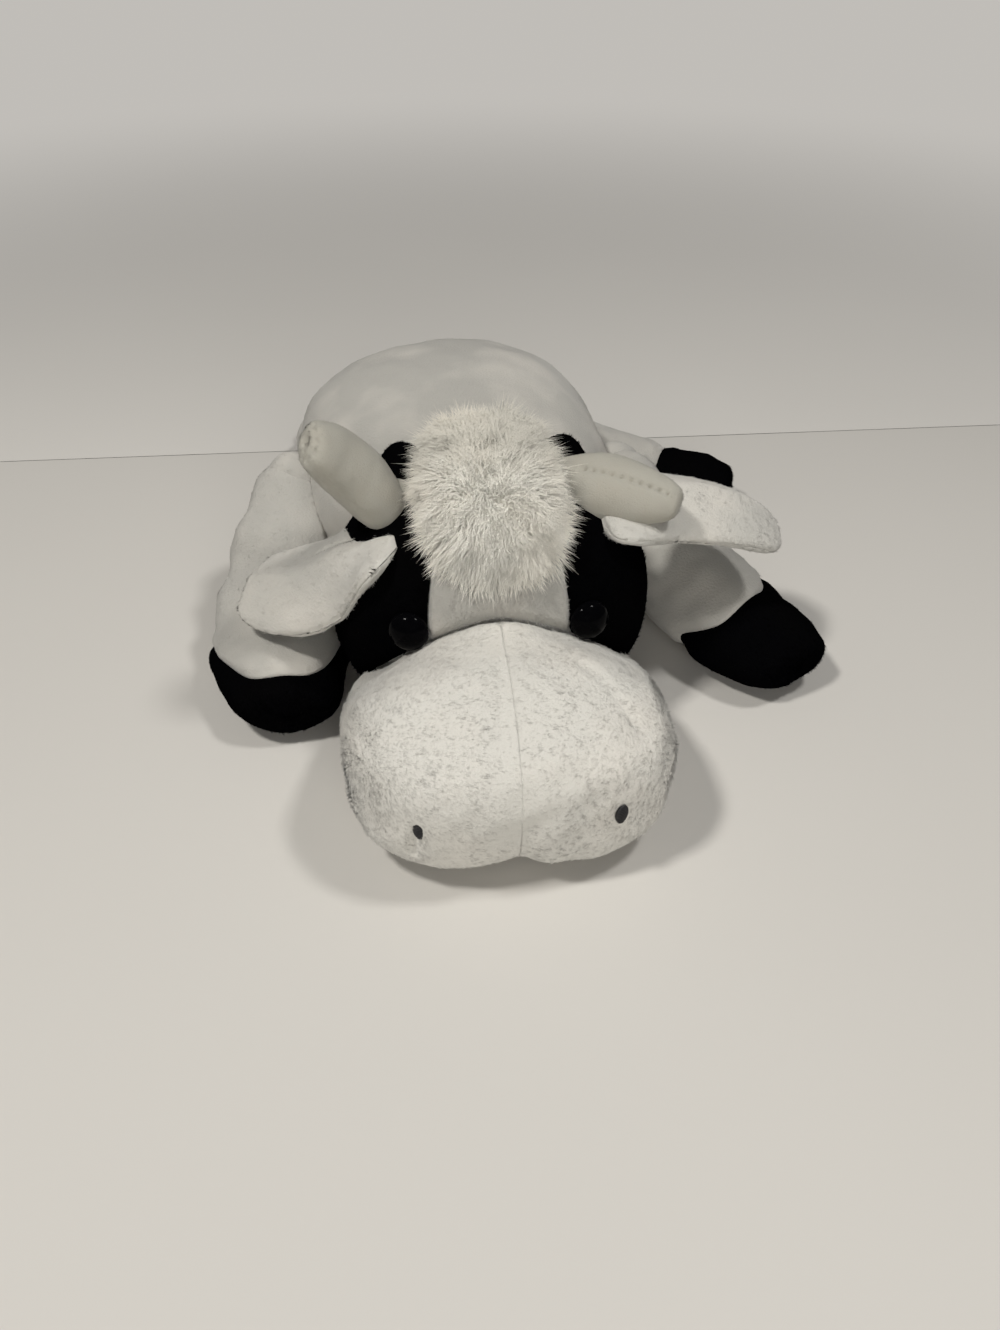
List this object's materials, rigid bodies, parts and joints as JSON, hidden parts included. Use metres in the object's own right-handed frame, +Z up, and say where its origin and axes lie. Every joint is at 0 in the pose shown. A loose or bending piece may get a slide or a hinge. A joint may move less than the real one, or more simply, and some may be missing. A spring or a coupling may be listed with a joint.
{
  "type": "plush cow",
  "caption": "Soft toy cow lying on its belly: broad white muzzle, black eye patches and hooves, cream horns, drooping ears and a long-pile forelock.",
  "frame": {"origin": "middle of the flat patch of the belly, on the plane that the toy lies on", "axes": "+Z up; -Y forward along the torso to the nose; +X to the cow's left"},
  "size_m": [0.167, 0.2343, 0.0775],
  "materials": {
    "white_plush": "short cut pile",
    "black_plush": "short cut pile",
    "cream_felt": "smooth short nap",
    "long_pile": "long loose pile",
    "eye_plastic": "polished dome",
    "washer_plastic": "moulded",
    "grey_thread": "satin stitch",
    "stuffing_fibre": "loose fibre",
    "pouch_cloth": "plain weave"
  },
  "bodies": {
    "torso": {"back_cover": "white_plush", "belly_cover": "white_plush", "torso_stuffing": "stuffing_fibre", "bean_pouch": "pouch_cloth"},
    "head": {"head_blaze": "white_plush", "right_face_patch": "black_plush", "left_face_patch": "black_plush", "muzzle_cover": "white_plush", "chin_cover": "white_plush", "head_stuffing": "stuffing_fibre", "right_eye": "eye_plastic", "left_eye": "eye_plastic", "right_eye_washer": "washer_plastic", "left_eye_washer": "washer_plastic", "right_nostril": "grey_thread", "left_nostril": "grey_thread", "forelock": "long_pile"},
    "right_horn": {"right_horn": "cream_felt"},
    "left_horn": {"left_horn": "cream_felt"},
    "right_ear": {"right_ear_back": "white_plush", "right_ear_lining": "white_plush"},
    "left_ear": {"left_ear_back": "white_plush", "left_ear_lining": "white_plush"},
    "right_fore_limb": {"right_fore_leg": "white_plush", "right_fore_hoof": "black_plush"},
    "left_fore_limb": {"left_fore_leg": "white_plush", "left_fore_hoof": "black_plush"},
    "right_hind_limb": {"right_hind_leg": "white_plush", "right_hind_hoof": "black_plush"},
    "left_hind_limb": {"left_hind_leg": "white_plush", "left_hind_hoof": "black_plush"},
    "tail": {"tail_cord": "white_plush", "tail_tuft": "long_pile"}
  },
  "joints": [
    {"name": "neck_nod", "type": "hinge", "parent": "torso", "child": "head", "pos_m": [0, -0.036, 0.031], "axis": [-0.9925, 0.1219, 0], "range_deg": [0, 15]},
    {"name": "right_horn_bend", "type": "hinge", "parent": "head", "child": "right_horn", "pos_m": [-0.02265, -0.06108, 0.05878], "axis": [-0.2779, 0.9535, -0.1163], "range_deg": [0, 28], "stiffness_Nm_per_rad": 0.01},
    {"name": "left_horn_bend", "type": "hinge", "parent": "head", "child": "left_horn", "pos_m": [0.01591, -0.06581, 0.05878], "axis": [-0.5762, -0.779, 0.2471], "range_deg": [0, 41], "stiffness_Nm_per_rad": 0.01},
    {"name": "right_ear_flap", "type": "hinge", "parent": "head", "child": "right_ear", "pos_m": [-0.03733, -0.06738, 0.04838], "axis": [-0.5736, -0.8192, 0], "range_deg": [-18, 0], "stiffness_Nm_per_rad": 0.015},
    {"name": "left_ear_flap", "type": "hinge", "parent": "head", "child": "left_ear", "pos_m": [0.02863, -0.07548, 0.04838], "axis": [0.0785, -0.9969, 0], "range_deg": [0, 10], "stiffness_Nm_per_rad": 0.015},
    {"name": "right_fore_splay", "type": "hinge", "parent": "torso", "child": "right_fore_limb", "pos_m": [-0.04645, -0.01072, 0.02117], "axis": [0, 0, 1], "range_deg": [-45, 0]},
    {"name": "left_fore_splay", "type": "hinge", "parent": "torso", "child": "left_fore_limb", "pos_m": [0.04645, -0.01072, 0.02117], "axis": [0, 0, 1], "range_deg": [-9.5, 35.5]},
    {"name": "right_hind_splay", "type": "hinge", "parent": "torso", "child": "right_hind_limb", "pos_m": [-0.03717, 0.03209, 0.01476], "axis": [0, 0, 1], "range_deg": [0, 133]},
    {"name": "left_hind_splay", "type": "hinge", "parent": "torso", "child": "left_hind_limb", "pos_m": [0.03717, 0.03209, 0.01476], "axis": [0, 0, 1], "range_deg": [0, 133]},
    {"name": "tail_lift", "type": "hinge", "parent": "torso", "child": "tail", "pos_m": [0, 0.04843, 0.01488], "axis": [1, 0, 0], "range_deg": [0, 50]}
  ]
}
